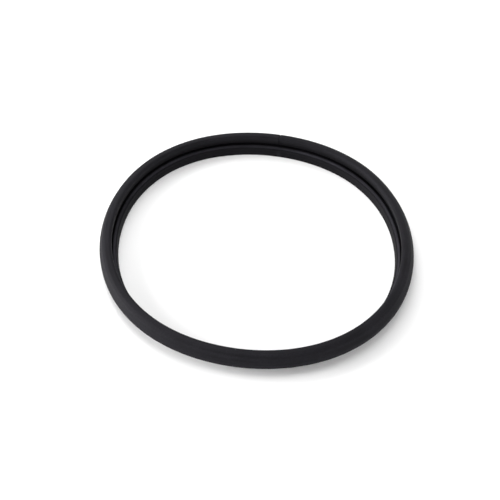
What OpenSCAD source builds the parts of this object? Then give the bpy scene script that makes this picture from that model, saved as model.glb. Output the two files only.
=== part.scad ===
// Sealing ring (lid gasket) of a 22 cm stovetop pressure cooker.
// One moulded rubber ring: a thick rounded bead above, a wedge-shaped sealing lip
// below, and a narrow pressure groove between them that opens towards the centre.
// Millimetres, +Z up, origin on the ring's axis in the plane that it rests on.

/* [Ring] */
// Outside diameter at the widest line, which seats in the lid's rim
ring_od = 236; // [160:1:300]
// Radial width of the whole section, from the sealing lip to the widest line
section_w = 13; // [12.8:0.1:14]
// Overall height of the ring
ring_h = 17.4; // [17:0.1:18.4]

/* [Outer wall] */
// Height of the lower edge of the straight band at the widest line
band_low = 7.7; // [7:0.1:8]
// Height where the straight band starts to curve inwards
band_high = 10.9; // [10.6:0.1:11.4]
// How far the upper shoulder sits inside the widest line
shoulder_in = 2.6; // [2.2:0.1:2.7]
// How far the upper shoulder sits below the top
shoulder_drop = 2; // [1.7:0.1:2.3]

/* [Upper bead] */
// Radial width of the bead at its top, from its inner edge to the widest line
bead_w = 10.1; // [10:0.1:10.5]
// How far the crown's outer edge sits below the top
crown_drop = 0.6; // [0.4:0.1:0.6]
// Rounding of the bead's top inner edge
bead_edge_r = 2.1; // [1.5:0.1:2.1]
// How far the bead's inner face leans outwards on its way down to the groove
bead_lean = 1.7; // [1.2:0.1:1.8]

/* [Pressure groove] */
// Height of the groove's mouth, at the lower end of the bead's inner face
groove_mouth = 8.4; // [8.3:0.1:8.9]
// How much lower the groove's roof lies at its closed end
groove_fall = 0.6; // [0.2:0.1:0.8]
// Height of the groove's opening at its closed end
groove_h = 1.3; // [1.1:0.1:1.5]
// Thickness of the rubber left behind the groove
groove_back = 4; // [3.6:0.1:4.6]

/* [Sealing lip] */
// Height of the lip's inner face
lip_face_h = 6.3; // [6:0.1:6.4]
// Height of the straight lower part of the inner face
lip_straight_h = 2.6; // [1.6:0.1:3.6]
// How far the inner face leans outwards above its straight part
lip_lean = 0.7; // [0.4:0.1:0.8]
// Width of the lip's flat foot
lip_foot_w = 4; // [2.5:0.1:5]
// Depth of the fine crease between the inner face and the ridge above it
crease_d = 1.2; // [1:0.1:1.3]
// Radial distance from the inner face to the crest at the groove's mouth
crest_in = 3.2; // [3:0.1:3.4]

/* [Hidden] */
$fn = 180;
rubber_black = [0.07, 0.07, 0.075];

outer_r = ring_od / 2;
lip_r = outer_r - section_w;
bead_r = outer_r - bead_w;
shoulder_r = outer_r - shoulder_in;
// The bead's crown: flat from its inner edge, then falling to its outer edge
flat_r = bead_r + 3.4;
crown_r = shoulder_r - 2;
crown_h = ring_h - crown_drop;
groove_end_r = outer_r - groove_back;
groove_roof = groove_mouth - groove_fall;
groove_floor = groove_roof - groove_h;
// Radial width of the slope from the crest down to the groove's floor
rim_w = 0.9;
// The ridge along the top of the lip: its rounded nose above the crease, and the
// crest where it meets the groove
lip_top_r = lip_r + lip_lean;
ridge_r = lip_top_r + 0.6;
ridge_h = lip_face_h + 0.8;
crease_h = lip_face_h + 0.4;
crest_r = lip_r + crest_in;
crest_h = groove_mouth - 0.3;

// Roundings of the moulded corners
crease_edge = 0.1;
sharp_edge = 0.3;
ridge_edge = 0.25;
soft_edge = 0.6;
band_edge = 1;
shoulder_edge = 1.5;
mouth_edge = 2.6;
lean_edge = 4;
crown_edge = 3;
flat_edge = 5;
fine_edge = 0.2;
floor_edge = 0.4;
wall_edge = 5;
groove_end_edge = groove_h * 0.4;
// Points along each rounding
ROUND_STEPS = 6;

// Corners of the section in the radial plane, each [radius, height, rounding]:
// outwards along the foot, up the outer wall, over the bead, into the groove,
// and down the lip's crest, ridge, crease and inner face
SECTION = [
    [lip_r, 0, sharp_edge],
    [lip_r + lip_foot_w, 0, soft_edge],
    [outer_r, band_low, band_edge],
    [outer_r, band_high, wall_edge],
    [shoulder_r, ring_h - shoulder_drop, shoulder_edge],
    [crown_r, crown_h, crown_edge],
    [flat_r, ring_h, flat_edge],
    [bead_r, ring_h, bead_edge_r],
    [bead_r + bead_lean, groove_mouth, mouth_edge],
    [groove_end_r, groove_roof, groove_end_edge],
    [groove_end_r, groove_floor, groove_end_edge],
    [crest_r + rim_w, groove_floor, floor_edge],
    [crest_r, crest_h, fine_edge],
    [ridge_r, ridge_h, ridge_edge],
    [lip_top_r + crease_d, crease_h, crease_edge],
    [lip_top_r, lip_face_h, sharp_edge],
    [lip_r, lip_straight_h, lean_edge],
];

function unit(v) = v / norm(v);
function place(corner) = [corner.x, corner.y];
function turned(v, angle) = [
    v.x * cos(angle) - v.y * sin(angle),
    v.x * sin(angle) + v.y * cos(angle),
];

// The arc that rounds a corner, from the side of the corner before it to the
// side of the corner after it
function rounded_corner(before, corner, after) =
    let (
        back = unit(place(before) - place(corner)),
        ahead = unit(place(after) - place(corner)),
        inward = unit(back + ahead),
        half_angle = acos(back * ahead) / 2,
        centre = place(corner) + inward * corner.z / sin(half_angle),
        side = sign(back.x * ahead.y - back.y * ahead.x),
        reach = side * (90 - half_angle)
    )
    [for (i = [0 : ROUND_STEPS])
        centre - corner.z * turned(inward, reach * (1 - 2 * i / ROUND_STEPS))];

function rounded_outline(corners) =
    let (count = len(corners))
    [for (k = [0 : count - 1])
        each rounded_corner(
            corners[(k + count - 1) % count],
            corners[k],
            corners[(k + 1) % count])];

module seal_ring() {
    color(rubber_black)
        rotate_extrude()
            polygon(rounded_outline(SECTION));
}

seal_ring();
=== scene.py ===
"""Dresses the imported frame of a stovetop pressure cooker's rubber sealing ring.

The ring is one piece. Its mesh is swept from the same rounded section as the CAD
node, with the moulding lines, the splice and the slight out-of-round shape of the
real rubber added to it. Lengths are in metres and named angles are in degrees.
"""

import math

import bpy
import numpy as np
from mathutils import Matrix, Vector


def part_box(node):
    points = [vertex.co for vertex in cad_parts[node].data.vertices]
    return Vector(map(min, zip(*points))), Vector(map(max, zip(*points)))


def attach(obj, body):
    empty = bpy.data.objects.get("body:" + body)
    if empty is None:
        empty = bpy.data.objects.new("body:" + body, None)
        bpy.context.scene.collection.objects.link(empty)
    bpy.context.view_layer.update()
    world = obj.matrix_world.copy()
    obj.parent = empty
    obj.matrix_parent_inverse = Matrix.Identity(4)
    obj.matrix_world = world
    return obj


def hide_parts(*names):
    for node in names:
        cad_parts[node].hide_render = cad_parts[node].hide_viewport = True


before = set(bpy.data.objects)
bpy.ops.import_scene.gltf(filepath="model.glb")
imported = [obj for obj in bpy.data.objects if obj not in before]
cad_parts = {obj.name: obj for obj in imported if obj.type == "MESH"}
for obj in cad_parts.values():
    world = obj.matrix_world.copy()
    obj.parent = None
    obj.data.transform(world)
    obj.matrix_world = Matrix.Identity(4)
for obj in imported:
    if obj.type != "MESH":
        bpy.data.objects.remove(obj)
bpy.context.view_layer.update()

MM = 0.001
RING_LOW, RING_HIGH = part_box("seal_ring")
OUTER_R = (RING_HIGH[0] - RING_LOW[0]) / 2
RING_H = RING_HIGH[2] - RING_LOW[2]

# The section's driving dimensions
SECTION_W = 13 * MM
BAND_LOW = 7.7 * MM
BAND_HIGH = 10.9 * MM
SHOULDER_IN = 2.6 * MM
SHOULDER_DROP = 2 * MM
CROWN_IN = 4.6 * MM
CROWN_DROP = 0.6 * MM
BEAD_W = 10.1 * MM
BEAD_FLAT_W = 3.4 * MM
BEAD_LEAN = 1.7 * MM
GROOVE_MOUTH = 8.4 * MM
GROOVE_FALL = 0.6 * MM
GROOVE_H = 1.3 * MM
GROOVE_BACK = 4 * MM
LIP_FACE_H = 6.3 * MM
LIP_STRAIGHT_H = 2.6 * MM
LIP_LEAN = 0.7 * MM
LIP_FOOT_W = 4 * MM
CREASE_D = 1.2 * MM
CREST_IN = 3.2 * MM
RIM_W = 0.9 * MM
RIDGE_IN = 0.6 * MM
RIDGE_RISE = 0.8 * MM
CREASE_RISE = 0.4 * MM
CREST_UNDER = 0.3 * MM

# Roundings of the section's moulded corners
CREASE_EDGE = 0.1 * MM
FINE_EDGE = 0.2 * MM
RIDGE_EDGE = 0.25 * MM
SHARP_EDGE = 0.3 * MM
FLOOR_EDGE = 0.4 * MM
SOFT_EDGE = 0.6 * MM
BAND_EDGE = 1 * MM
SHOULDER_EDGE = 1.5 * MM
BEAD_EDGE = 2.1 * MM
MOUTH_EDGE = 2.6 * MM
CROWN_EDGE = 3 * MM
LEAN_EDGE = 4 * MM
FLAT_EDGE = 5 * MM
WALL_EDGE = 5 * MM
GROOVE_END_EDGE = 0.4 * GROOVE_H

LIP_R = OUTER_R - SECTION_W
LIP_TOP_R = LIP_R + LIP_LEAN
CREST_R = LIP_R + CREST_IN
BEAD_R = OUTER_R - BEAD_W
SHOULDER_R = OUTER_R - SHOULDER_IN
GROOVE_END_R = OUTER_R - GROOVE_BACK
GROOVE_ROOF = GROOVE_MOUTH - GROOVE_FALL
GROOVE_FLOOR = GROOVE_ROOF - GROOVE_H

# How finely the mesh follows the section and the ring
SECTION_STEP = 0.9 * MM
LIP_FACE_STEP = 0.13 * MM
ROUND_STEPS = 6
AROUND_STEP = 0.8
FINE_STEP = 0.05

# Shallow lines that the mould leaves around the lip's inner face
MOULD_LINES = (1.4 * MM, 3.0 * MM, 4.5 * MM)
MOULD_LINE_D = 0.07 * MM
MOULD_LINE_W = 0.2 * MM

# The splice that closes the moulded strip into a ring, on the far side: a fine line
# across the bead, and a pale smudge on the lip's inner face
SPLICE_AT = 79.7
SPLICE_LINE_W = 0.34 * MM
SPLICE_LINE_D = 0.7 * MM
SPLICE_REACH = 1.2
SMUDGE_H = 3.2 * MM
SMUDGE_R = 2.0 * MM
SMUDGE_BLOOM = 0.35

# Thin wavy moulding flash along the lip's lower inner edge, on the far side
FLASH_AT = 101.0
FLASH_SPREAD = 7.0
FLASH_D = 0.22 * MM
FLASH_H = 0.25 * MM
FLASH_THICK = 0.35 * MM
FLASH_WAVES = 97

# Share of pale bloom on the bead and outer wall, the ridge's much paler share, which is a
# painted highlight, and how much less the foot of the bead's inner face has, which is painted
# shade towards the groove
BLOOM = 0.3
RIDGE_PAINTED_LIGHT = 0.9
LOW_FACE_PAINTED_SHADE = 0.3

# Camera, in ring radii and degrees
CAMERA_DISTANCE = 6.0
CAMERA_ELEVATION = 47.12
CAMERA_YAW = 0.36
CAMERA_PITCH = -0.69
CAMERA_LENS = 67.9
SENSOR_W = 36.0
TARGET_H = 0.0822 * OUTER_R
FLOOR_HALF = 25 * OUTER_R

# Studio lights, in metres, degrees and watts: a key softbox on the left with a low
# strip under it, one light behind and one overhead, weak fills close around the other
# sides, and a little light from the room
KEY_AT = 180
KEY_RISE = 20
KEY_WATTS = 15
STRIP_RISE = 6
STRIP_WATTS = 5
BACK_AT = 110
BACK_RISE = 45
BACK_WATTS = 8
TOP_RISE = 85
TOP_WATTS = 5
LIGHT_DISTANCE = 1.2
LIGHT_SIZE = 0.7
STRIP_H = 0.2
FILLS_AT = (0, 45, 225, 270, 315)
FILL_RISE = 20
FILL_WATTS = 0.45
FILL_DISTANCE = 0.5
FILL_SIZE = 0.3
ROOM_LIGHT = 0.2

# How the soft ring lies out of round, as shares of its radius: a slight oval, and a
# slight squareness on top of it, each with the azimuth where it reaches out furthest
OVAL = 0.02
OVAL_AT = 135
SQUARENESS = 0.008
SQUARENESS_AT = 40


# ---------------------------------------------------------------- section
def section_corners():
    """Corners of the section as (radius, height, rounding)."""
    return [
        (LIP_R, 0, SHARP_EDGE),
        (LIP_R + LIP_FOOT_W, 0, SOFT_EDGE),
        (OUTER_R, BAND_LOW, BAND_EDGE),
        (OUTER_R, BAND_HIGH, WALL_EDGE),
        (SHOULDER_R, RING_H - SHOULDER_DROP, SHOULDER_EDGE),
        (OUTER_R - CROWN_IN, RING_H - CROWN_DROP, CROWN_EDGE),
        (BEAD_R + BEAD_FLAT_W, RING_H, FLAT_EDGE),
        (BEAD_R, RING_H, BEAD_EDGE),
        (BEAD_R + BEAD_LEAN, GROOVE_MOUTH, MOUTH_EDGE),
        (GROOVE_END_R, GROOVE_ROOF, GROOVE_END_EDGE),
        (GROOVE_END_R, GROOVE_FLOOR, GROOVE_END_EDGE),
        (CREST_R + RIM_W, GROOVE_FLOOR, FLOOR_EDGE),
        (CREST_R, GROOVE_MOUTH - CREST_UNDER, FINE_EDGE),
        (LIP_TOP_R + RIDGE_IN, LIP_FACE_H + RIDGE_RISE, RIDGE_EDGE),
        (LIP_TOP_R + CREASE_D, LIP_FACE_H + CREASE_RISE, CREASE_EDGE),
        (LIP_TOP_R, LIP_FACE_H, SHARP_EDGE),
        (LIP_R, LIP_STRAIGHT_H, LEAN_EDGE),
    ]


def rounded_corner(before, corner, after):
    """Points on the arc that rounds a corner, from the side before it to the side after."""
    here = Vector(corner[:2])
    back = (Vector(before[:2]) - here).normalized()
    ahead = (Vector(after[:2]) - here).normalized()
    inward = (back + ahead).normalized()
    half_angle = back.angle(ahead) / 2
    centre = here + inward * corner[2] / math.sin(half_angle)
    side = math.copysign(1, back.x * ahead.y - back.y * ahead.x)
    reach = side * (math.pi / 2 - half_angle)
    points = []
    for i in range(ROUND_STEPS + 1):
        turn = Matrix.Rotation(reach * (1 - 2 * i / ROUND_STEPS), 2)
        points.append(centre - turn @ inward * corner[2])
    return points


def ring_section():
    """The section's outline as an array of (radius, height), with long sides divided."""
    corners = section_corners()
    count = len(corners)
    rough = []
    for k in range(count):
        rough += rounded_corner(corners[k - 1], corners[k], corners[(k + 1) % count])
    outline = []
    for k, start in enumerate(rough):
        end = rough[(k + 1) % len(rough)]
        on_lip_face = max(start.x, end.x) < LIP_TOP_R and min(start.y, end.y) > 0.2 * MM
        step = LIP_FACE_STEP if on_lip_face else SECTION_STEP
        pieces = max(1, math.ceil((end - start).length / step))
        outline += [start.lerp(end, i / pieces) for i in range(pieces)]
    return np.array(outline)


def outline_normals(outline):
    """Outward unit normals of a closed outline that runs anticlockwise."""
    along = np.roll(outline, -1, axis=0) - np.roll(outline, 1, axis=0)
    normals = np.stack([along[:, 1], -along[:, 0]], axis=1)
    return normals / np.linalg.norm(normals, axis=1, keepdims=True)


# ---------------------------------------------------------------- ring mesh
def around_angles():
    """Azimuths in degrees from the splice round to it again, closer together beside it."""
    coarse = np.arange(SPLICE_REACH, 360 - SPLICE_REACH, AROUND_STEP)
    after = np.arange(0, SPLICE_REACH, FINE_STEP)
    before = np.arange(360 - SPLICE_REACH, 360, FINE_STEP)
    return SPLICE_AT + np.concatenate([after, coarse, before])


def out_of_round(azimuth):
    """How far the soft ring lies from a true circle, as a share of its radius."""
    oval = OVAL * math.cos(math.radians(2 * (azimuth - OVAL_AT)))
    square = SQUARENESS * math.cos(math.radians(4 * (azimuth - SQUARENESS_AT)))
    return oval + square


def beside_splice(azimuth):
    """Distance along the ring from the splice."""
    turn = (azimuth - SPLICE_AT + 180) % 360 - 180
    return math.radians(turn) * OUTER_R


def surface_depth(outline, azimuth):
    """How deep the mould lines and the splice cut into each point of the outline."""
    on_face = outline[:, 0] < LIP_TOP_R
    depth = np.zeros(len(outline))
    for height in MOULD_LINES:
        depth += MOULD_LINE_D * np.exp(-(((outline[:, 1] - height) / MOULD_LINE_W) ** 2))
    line = SPLICE_LINE_D * math.exp(-((beside_splice(azimuth) / SPLICE_LINE_W) ** 2))
    on_bead = between(outline[:, 1], GROOVE_MOUTH, RING_H, 0.5 * MM)
    return depth * on_face + line * on_bead


def flash_width(outline, azimuth):
    """How far the moulding flash stands in from each point of the outline."""
    near_edge = np.exp(-(((outline[:, 1] - FLASH_H) / FLASH_THICK) ** 2))
    near_edge = near_edge * (outline[:, 0] < LIP_R + 0.6 * MM)
    spread = math.exp(-(((azimuth - FLASH_AT) / FLASH_SPREAD) ** 2))
    waves = 0.6 + 0.4 * math.sin(math.radians(azimuth) * FLASH_WAVES)
    return FLASH_D * spread * waves * near_edge


def between(value, low, high, soft):
    """A smooth window: 1 between low and high, 0 more than soft outside them."""
    rise = np.clip((value - low) / soft + 1, 0, 1)
    fall = np.clip((high - value) / soft + 1, 0, 1)
    return np.minimum(rise, fall)


def section_bloom_and_painted_light(outline):
    """The share of pale tone on each point of the outline, from 0 to 1: bloom on the bead and
    outer wall, painted shade on the lip's inner face and towards the groove, and a painted
    highlight on the ridge.
    """
    radius, height = outline[:, 0], outline[:, 1]
    bloom_and_painted_light = np.full(len(outline), BLOOM)
    # The lip's inner face gets none of the pale tone: painted shade.
    lip_face_painted_shade = (radius < LIP_TOP_R + 0.3 * MM) & (height < LIP_FACE_H + 0.1 * MM)
    bloom_and_painted_light[lip_face_painted_shade] = 0.0
    # The ridge gets a much paler tone: a painted highlight for the light it catches below the
    # bead.
    ridge_low = LIP_FACE_H + 0.5 * MM
    on_ridge = (height > ridge_low) & (radius < CREST_R + 0.1 * MM)
    bloom_and_painted_light[on_ridge] = RIDGE_PAINTED_LIGHT
    # The foot of the bead's inner face is darkened towards the groove: painted shade.
    inner_face = (radius > BEAD_R - 0.1 * MM) & (radius < BEAD_R + 2.2 * MM)
    groove_painted_shade = between(height, GROOVE_FLOOR, GROOVE_MOUTH + 3 * MM, 3 * MM)
    bloom_and_painted_light[inner_face] -= LOW_FACE_PAINTED_SHADE * groove_painted_shade[inner_face]
    return bloom_and_painted_light


def splice_smudge(outline, azimuth):
    """The extra bloom where the splice was trimmed on the lip's inner face."""
    away = (outline[:, 1] - SMUDGE_H) ** 2 + beside_splice(azimuth) ** 2
    on_face = outline[:, 0] < LIP_TOP_R
    return SMUDGE_BLOOM * np.exp(-away / SMUDGE_R ** 2) * on_face


def build_ring():
    outline = ring_section()
    normals = outline_normals(outline)
    azimuths = around_angles()
    plain_bloom_and_painted_light = section_bloom_and_painted_light(outline)
    rows, bloom_and_painted_light_rows = [], []
    for azimuth in azimuths:
        angle = math.radians(azimuth)
        moved = outline - normals * surface_depth(outline, azimuth)[:, None]
        radius = moved[:, 0] - flash_width(outline, azimuth)
        radius = radius + OUTER_R * out_of_round(azimuth)
        row = [radius * math.cos(angle), radius * math.sin(angle), moved[:, 1]]
        rows.append(np.stack(row, axis=1))
        # Each row's pale tone holds bloom, the splice smudge, and the painted light and shade
        # of the section.
        bloom_and_painted_light_rows.append(plain_bloom_and_painted_light + splice_smudge(outline, azimuth))
    points = np.concatenate(rows)
    count, turns = len(outline), len(azimuths)
    lengths = np.linalg.norm(np.roll(outline, -1, axis=0) - outline, axis=1)
    across = np.concatenate([[0], np.cumsum(lengths)])
    around = np.radians(np.append(azimuths, SPLICE_AT + 360) - SPLICE_AT) * OUTER_R
    faces, wrap = [], []
    for j in range(turns):
        here, there = j * count, ((j + 1) % turns) * count
        for i in range(count):
            k = (i + 1) % count
            faces.append((here + i, there + i, there + k, here + k))
            wrap += [around[j], across[i], around[j + 1], across[i]]
            wrap += [around[j + 1], across[i + 1], around[j], across[i + 1]]
    mesh = bpy.data.meshes.new("rubber_ring")
    mesh.from_pydata(points.tolist(), [], faces)
    mesh.uv_layers.new(name="wrap")
    mesh.uv_layers["wrap"].uv.foreach_set("vector", wrap)
    # The pale tone per point: bloom, the splice smudge, a painted highlight on the ridge and
    # painted shade on the lip's inner face and towards the groove.
    bloom_and_painted_light = mesh.attributes.new("bloom_and_painted_light", "FLOAT", "POINT")
    bloom_and_painted_light.data.foreach_set("value", np.concatenate(bloom_and_painted_light_rows))
    mesh.shade_smooth()
    print("ring mesh:", count, "x", turns, "points,", 2 * len(faces), "triangles")
    ring = bpy.data.objects.new("rubber_ring", mesh)
    bpy.context.collection.objects.link(ring)
    return ring


# ---------------------------------------------------------------- materials
def new_material(name):
    material = bpy.data.materials.new(name)
    material.use_nodes = True
    return material, material.node_tree.nodes, material.node_tree.links


def noise(nodes, links, vector, scale, detail, roughness=0.5):
    node = nodes.new("ShaderNodeTexNoise")
    node.inputs["Scale"].default_value = scale
    node.inputs["Detail"].default_value = detail
    node.inputs["Roughness"].default_value = roughness
    links.new(vector, node.inputs["Vector"])
    return node.outputs["Fac"]


def ramp(nodes, links, factor, stops):
    """A colour ramp through (position, grey or colour) stops."""
    node = nodes.new("ShaderNodeValToRGB")
    elements = node.color_ramp.elements
    while len(elements) < len(stops):
        elements.new(0.5)
    for element, (position, colour) in zip(elements, stops):
        element.position = position
        element.color = colour
    links.new(factor, node.inputs["Fac"])
    return node.outputs["Color"]


def mixed(nodes, links, factor, first, second):
    """Blends two colours by a factor."""
    node = nodes.new("ShaderNodeMix")
    node.data_type = "RGBA"
    links.new(factor, node.inputs[0])
    links.new(first, node.inputs[6])
    links.new(second, node.inputs[7])
    return node.outputs[2]


def rubber_material():
    """Matt black moulded rubber: a fine grain, faint streaks along the ring, and bloom; the
    same pale tone also paints a highlight on the ridge and shade on the lip's inner face and
    towards the groove.
    """
    material, nodes, links = new_material("black_rubber")
    shader = nodes["Principled BSDF"]
    shader.inputs["Specular IOR Level"].default_value = 0.13
    shader.inputs["Specular Tint"].default_value = (0.92, 0.9, 1.0, 1)
    where = nodes.new("ShaderNodeTexCoord")

    stretch = nodes.new("ShaderNodeMapping")
    stretch.inputs["Scale"].default_value = (14, 520, 1)
    links.new(where.outputs["UV"], stretch.inputs["Vector"])
    streaks = noise(nodes, links, stretch.outputs["Vector"], 1.0, 3)
    patches = noise(nodes, links, where.outputs["Object"], 55, 2)
    speckle = noise(nodes, links, where.outputs["Object"], 1100, 3, 0.7)

    blend = nodes.new("ShaderNodeMix")
    blend.data_type = "FLOAT"
    blend.inputs["Factor"].default_value = 0.45
    links.new(streaks, blend.inputs["A"])
    links.new(patches, blend.inputs["B"])
    rough = ramp(nodes, links, blend.outputs["Result"], [
        (0.3, (0.56, 0.56, 0.56, 1)),
        (0.7, (0.76, 0.76, 0.76, 1)),
    ])
    links.new(rough, shader.inputs["Roughness"])

    # The pale tone read from the mesh: bloom, with painted light on the ridge and painted
    # shade on the lip's inner face and towards the groove.
    bloom_and_painted_light = nodes.new("ShaderNodeAttribute")
    bloom_and_painted_light.attribute_name = "bloom_and_painted_light"
    # Dark rubber tone, which also serves as painted shade on the lip's inner face.
    dark_tone = ramp(nodes, links, speckle, [
        (0.32, (0.0022, 0.0021, 0.0026, 1)),
        (0.75, (0.0048, 0.0046, 0.0056, 1)),
    ])
    pale_tone = ramp(nodes, links, speckle, [
        (0.32, (0.0200, 0.0192, 0.0234, 1)),
        (0.75, (0.0420, 0.0404, 0.0490, 1)),
    ])
    uneven = ramp(nodes, links, blend.outputs["Result"], [
        (0.36, (0.15, 0.15, 0.15, 1)),
        (0.64, (1, 1, 1, 1)),
    ])
    amount = nodes.new("ShaderNodeMath")
    amount.operation = "MULTIPLY"
    links.new(bloom_and_painted_light.outputs["Fac"], amount.inputs[0])
    links.new(uneven, amount.inputs[1])
    tone = mixed(nodes, links, amount.outputs["Value"], dark_tone, pale_tone)
    links.new(tone, shader.inputs["Base Color"])

    grain = noise(nodes, links, where.outputs["Object"], 2200, 3)
    bump = nodes.new("ShaderNodeBump")
    bump.inputs["Strength"].default_value = 0.35
    bump.inputs["Distance"].default_value = 0.0001
    links.new(grain, bump.inputs["Height"])
    links.new(bump.outputs["Normal"], shader.inputs["Normal"])
    return material


def floor_material():
    material, nodes, _ = new_material("pale_floor")
    shader = nodes["Principled BSDF"]
    shader.inputs["Base Color"].default_value = (0.95, 0.95, 0.95, 1)
    shader.inputs["Roughness"].default_value = 0.9
    shader.inputs["Specular IOR Level"].default_value = 0.2
    return material


# ---------------------------------------------------------------- stage
def build_floor():
    half = FLOOR_HALF
    corners = [(-half, -half, 0), (half, -half, 0), (half, half, 0), (-half, half, 0)]
    mesh = bpy.data.meshes.new("floor")
    mesh.from_pydata(corners, [], [(0, 1, 2, 3)])
    floor = bpy.data.objects.new("floor", mesh)
    floor.data.materials.append(floor_material())
    bpy.context.collection.objects.link(floor)


def build_camera():
    """A camera that looks down at the ring from the front."""
    elevation = math.radians(CAMERA_ELEVATION)
    target = Vector((0, 0, TARGET_H))
    back = Vector((0, -math.cos(elevation), math.sin(elevation)))
    forward, right = -back, Vector((1, 0, 0))
    up = right.cross(forward)
    aim = Matrix.Rotation(math.radians(CAMERA_YAW), 3, up)
    aim = aim @ Matrix.Rotation(math.radians(CAMERA_PITCH), 3, right)
    forward, right, up = aim @ forward, aim @ right, aim @ up
    data = bpy.data.cameras.new("camera")
    data.lens = CAMERA_LENS
    data.sensor_width = SENSOR_W
    camera = bpy.data.objects.new("camera", data)
    turn = Matrix((right, up, -forward)).transposed().to_4x4()
    camera.matrix_world = Matrix.Translation(target + back * CAMERA_DISTANCE * OUTER_R) @ turn
    bpy.context.collection.objects.link(camera)
    bpy.context.scene.camera = camera


def softbox(azimuth, elevation, distance, width, height, watts):
    """A rectangular area light that faces the ring's centre."""
    name = "softbox_{:03d}_{:02d}".format(azimuth, elevation)
    data = bpy.data.lights.new(name, "AREA")
    data.shape = "RECTANGLE"
    data.size = width
    data.size_y = height
    data.energy = watts
    around, rise = math.radians(azimuth), math.radians(elevation)
    flat = math.cos(rise)
    place = Vector((math.cos(around) * flat, math.sin(around) * flat, math.sin(rise)))
    light = bpy.data.objects.new(name, data)
    light.location = place * distance
    light.rotation_mode = "QUATERNION"
    light.rotation_quaternion = (-place).to_track_quat("-Z", "Y")
    light.visible_camera = False
    bpy.context.collection.objects.link(light)


def build_lights():
    softbox(KEY_AT, KEY_RISE, LIGHT_DISTANCE, LIGHT_SIZE, LIGHT_SIZE, KEY_WATTS)
    softbox(KEY_AT, STRIP_RISE, LIGHT_DISTANCE, LIGHT_SIZE, STRIP_H, STRIP_WATTS)
    softbox(BACK_AT, BACK_RISE, LIGHT_DISTANCE, LIGHT_SIZE, LIGHT_SIZE, BACK_WATTS)
    softbox(BACK_AT, TOP_RISE, LIGHT_DISTANCE, LIGHT_SIZE, LIGHT_SIZE, TOP_WATTS)
    for azimuth in FILLS_AT:
        softbox(azimuth, FILL_RISE, FILL_DISTANCE, FILL_SIZE, FILL_SIZE, FILL_WATTS)
    world = bpy.data.worlds.new("studio")
    world.use_nodes = True
    world.node_tree.nodes["Background"].inputs["Color"].default_value = (1, 1, 1, 1)
    world.node_tree.nodes["Background"].inputs["Strength"].default_value = ROOM_LIGHT
    bpy.context.scene.world = world
    bpy.context.scene.view_settings.view_transform = "Standard"


build_camera()
build_floor()
build_lights()

ring = build_ring()
ring.data.materials.append(rubber_material())
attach(ring, "root")
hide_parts("seal_ring")
